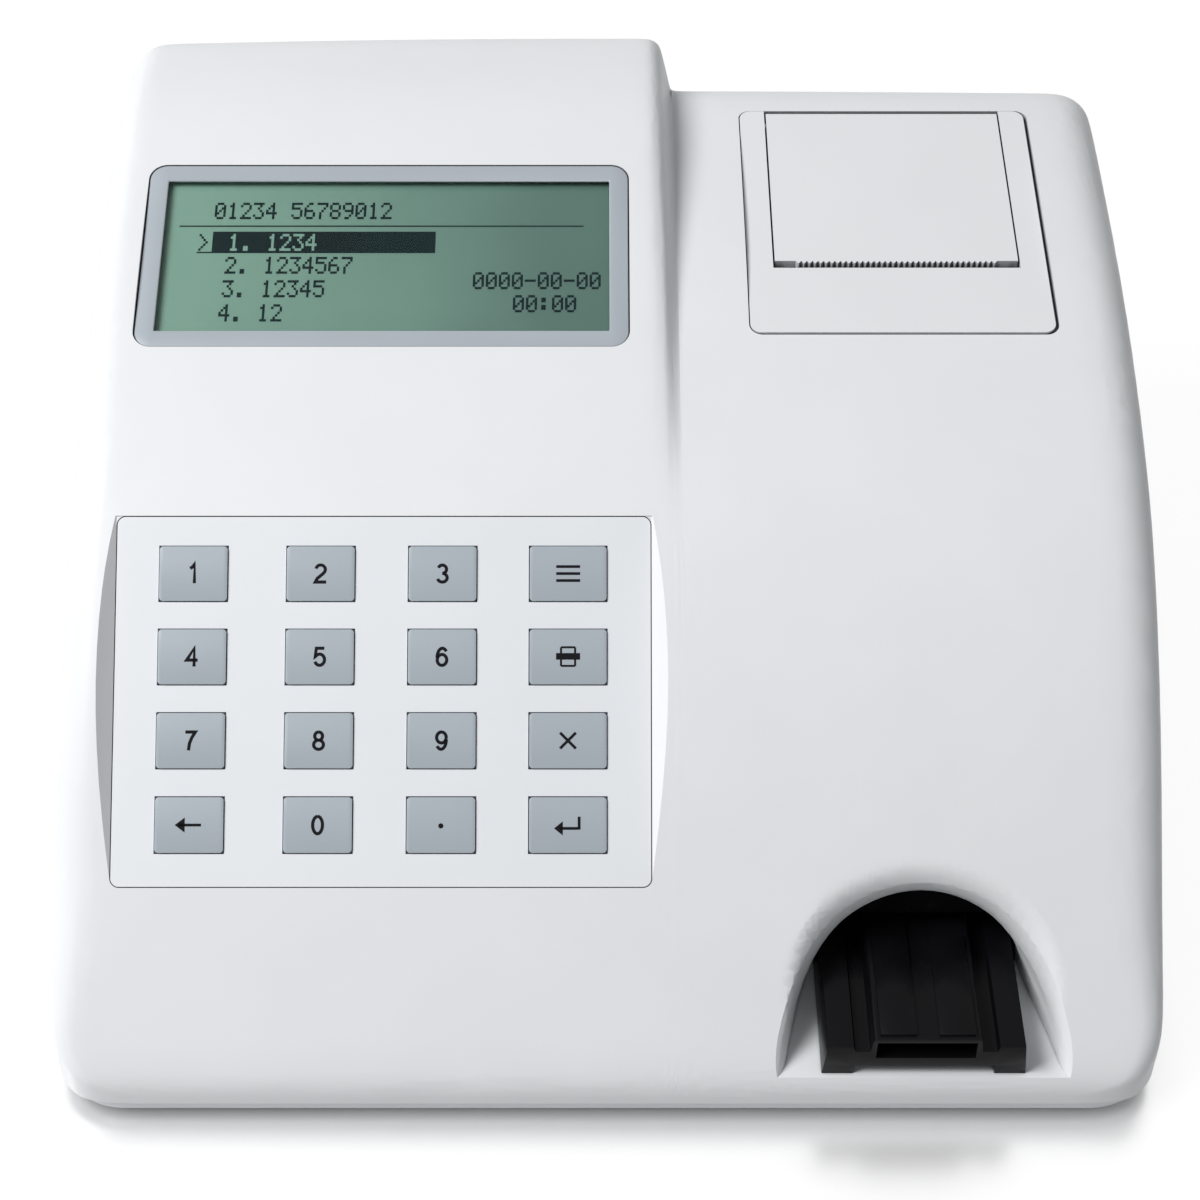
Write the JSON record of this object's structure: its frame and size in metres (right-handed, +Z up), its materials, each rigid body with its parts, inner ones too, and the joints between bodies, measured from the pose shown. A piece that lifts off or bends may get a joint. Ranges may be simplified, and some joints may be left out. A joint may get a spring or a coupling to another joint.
{
  "type": "urine test strip analyser",
  "caption": "Benchtop test strip analyser with sliding strip platform, sloping keypad, text display and receipt printer under a hinged lid",
  "frame": {"origin": "centre of the footprint on the table, at the underside of the feet", "axes": "+Z up, -Y out of the front with the strip port, +X to the right seen from the front"},
  "size_m": [0.269, 0.272, 0.1462],
  "materials": {
    "casing": "satin",
    "casing_base": "satin",
    "foot_rubber": "matte",
    "screw_steel": "plain",
    "bezel_plastic": "satin",
    "window_clear": "clear",
    "display_glass": "printed",
    "board": "solder mask",
    "panel_film": "satin",
    "dome_metal": "plain",
    "platform_plastic": "gloss",
    "gear_plastic": "satin",
    "dark_plastic": "satin",
    "motor_can": "plated",
    "bracket_steel": "zinc",
    "lens_glass": "clear",
    "reference_white": "matte",
    "component_black": "matte",
    "rear_plastic": "satin",
    "connector_shell": "plated",
    "lid_plastic": "satin",
    "head_ceramic": "matte",
    "key_plastic": "satin",
    "cable_grey": "flexible"
  },
  "bodies": {
    "casing": {"top_casing": "casing", "bottom_casing": "casing_base", "feet": "foot_rubber", "casing_screws": "screw_steel", "board_screws": "screw_steel", "display_bezel": "bezel_plastic", "display_window": "window_clear", "display_glass": "display_glass", "display_board": "board", "keypad_panel": "panel_film", "keypad_board": "board", "key_domes": "dome_metal", "carriage_guide": "dark_plastic", "port_liner": "dark_plastic", "carriage_motor": "motor_can", "motor_bracket": "bracket_steel", "optical_head": "dark_plastic", "lens": "lens_glass", "sensor_board": "board", "main_board": "board", "board_components": "component_black", "rear_panel": "rear_plastic", "power_switch": "dark_plastic", "power_inlet": "dark_plastic", "inlet_pin": "screw_steel", "scanner_port": "dark_plastic", "serial_port": "connector_shell", "printer_port": "connector_shell", "printer_bezel": "bezel_plastic", "hinge_pin": "screw_steel", "printer_chassis": "dark_plastic", "print_head": "head_ceramic", "ribbon_cables": "cable_grey", "head_spring": "screw_steel", "feed_motor": "motor_can"},
    "platform": {"strip_platform": "platform_plastic", "carriage_rack": "gear_plastic", "reference_tile": "reference_white"},
    "pinion": {"drive_pinion": "gear_plastic", "motor_shaft": "screw_steel"},
    "lid": {"paper_lid": "lid_plastic"},
    "platen": {"platen_roller": "foot_rubber", "platen_shaft": "screw_steel"},
    "rocker": {"power_rocker": "dark_plastic"},
    "key_1": {"key_1": "key_plastic"},
    "key_2": {"key_2": "key_plastic"},
    "key_3": {"key_3": "key_plastic"},
    "key_menu": {"key_menu": "key_plastic"},
    "key_4": {"key_4": "key_plastic"},
    "key_5": {"key_5": "key_plastic"},
    "key_6": {"key_6": "key_plastic"},
    "key_print": {"key_print": "key_plastic"},
    "key_7": {"key_7": "key_plastic"},
    "key_8": {"key_8": "key_plastic"},
    "key_9": {"key_9": "key_plastic"},
    "key_cancel": {"key_cancel": "key_plastic"},
    "key_back": {"key_back": "key_plastic"},
    "key_0": {"key_0": "key_plastic"},
    "key_point": {"key_point": "key_plastic"},
    "key_enter": {"key_enter": "key_plastic"}
  },
  "joints": [
    {"name": "key_1_press", "type": "slide", "parent": "casing", "child": "key_1", "axis": [0, 0.628, -0.7782], "range_m": [0, 0.0005], "stiffness_N_per_m": 3000, "springref_m": -0.0002},
    {"name": "key_2_press", "type": "slide", "parent": "casing", "child": "key_2", "axis": [0, 0.628, -0.7782], "range_m": [0, 0.0005], "stiffness_N_per_m": 3000, "springref_m": -0.0002},
    {"name": "key_3_press", "type": "slide", "parent": "casing", "child": "key_3", "axis": [0, 0.628, -0.7782], "range_m": [0, 0.0005], "stiffness_N_per_m": 3000, "springref_m": -0.0002},
    {"name": "key_menu_press", "type": "slide", "parent": "casing", "child": "key_menu", "axis": [0, 0.628, -0.7782], "range_m": [0, 0.0005], "stiffness_N_per_m": 3000, "springref_m": -0.0002},
    {"name": "key_4_press", "type": "slide", "parent": "casing", "child": "key_4", "axis": [0, 0.628, -0.7782], "range_m": [0, 0.0005], "stiffness_N_per_m": 3000, "springref_m": -0.0002},
    {"name": "key_5_press", "type": "slide", "parent": "casing", "child": "key_5", "axis": [0, 0.628, -0.7782], "range_m": [0, 0.0005], "stiffness_N_per_m": 3000, "springref_m": -0.0002},
    {"name": "key_6_press", "type": "slide", "parent": "casing", "child": "key_6", "axis": [0, 0.628, -0.7782], "range_m": [0, 0.0005], "stiffness_N_per_m": 3000, "springref_m": -0.0002},
    {"name": "key_print_press", "type": "slide", "parent": "casing", "child": "key_print", "axis": [0, 0.628, -0.7782], "range_m": [0, 0.0005], "stiffness_N_per_m": 3000, "springref_m": -0.0002},
    {"name": "key_7_press", "type": "slide", "parent": "casing", "child": "key_7", "axis": [0, 0.628, -0.7782], "range_m": [0, 0.0005], "stiffness_N_per_m": 3000, "springref_m": -0.0002},
    {"name": "key_8_press", "type": "slide", "parent": "casing", "child": "key_8", "axis": [0, 0.628, -0.7782], "range_m": [0, 0.0005], "stiffness_N_per_m": 3000, "springref_m": -0.0002},
    {"name": "key_9_press", "type": "slide", "parent": "casing", "child": "key_9", "axis": [0, 0.628, -0.7782], "range_m": [0, 0.0005], "stiffness_N_per_m": 3000, "springref_m": -0.0002},
    {"name": "key_cancel_press", "type": "slide", "parent": "casing", "child": "key_cancel", "axis": [0, 0.628, -0.7782], "range_m": [0, 0.0005], "stiffness_N_per_m": 3000, "springref_m": -0.0002},
    {"name": "key_back_press", "type": "slide", "parent": "casing", "child": "key_back", "axis": [0, 0.628, -0.7782], "range_m": [0, 0.0005], "stiffness_N_per_m": 3000, "springref_m": -0.0002},
    {"name": "key_0_press", "type": "slide", "parent": "casing", "child": "key_0", "axis": [0, 0.628, -0.7782], "range_m": [0, 0.0005], "stiffness_N_per_m": 3000, "springref_m": -0.0002},
    {"name": "key_point_press", "type": "slide", "parent": "casing", "child": "key_point", "axis": [0, 0.628, -0.7782], "range_m": [0, 0.0005], "stiffness_N_per_m": 3000, "springref_m": -0.0002},
    {"name": "key_enter_press", "type": "slide", "parent": "casing", "child": "key_enter", "axis": [0, 0.628, -0.7782], "range_m": [0, 0.0005], "stiffness_N_per_m": 3000, "springref_m": -0.0002},
    {"name": "platform_slide", "type": "slide", "parent": "casing", "child": "platform", "axis": [0, 1, 0], "range_m": [0, 0.062]},
    {"name": "pinion_spin", "type": "hinge", "parent": "casing", "child": "pinion", "pos_m": [0.1058, -0.0265, 0.03], "axis": [0, 0, 1], "range_deg": [-560, 5]},
    {"name": "lid_hinge", "type": "hinge", "parent": "casing", "child": "lid", "pos_m": [0.0748, 0.09498, 0.12956], "axis": [-1, 0, 0], "range_deg": [0, 95]},
    {"name": "platen_spin", "type": "hinge", "parent": "lid", "child": "platen", "pos_m": [0.0748, 0.04701, 0.11811], "axis": [-1, 0, 0], "continuous": true},
    {"name": "rocker_tip", "type": "hinge", "parent": "casing", "child": "rocker", "pos_m": [-0.092, 0.1316, 0.0235], "axis": [-1, 0, 0], "range_deg": [0, 18]}
  ],
  "couplings": [
    {"joint": "pinion_spin", "follows": "platform_slide", "rad_per_m": -156.25}
  ]
}
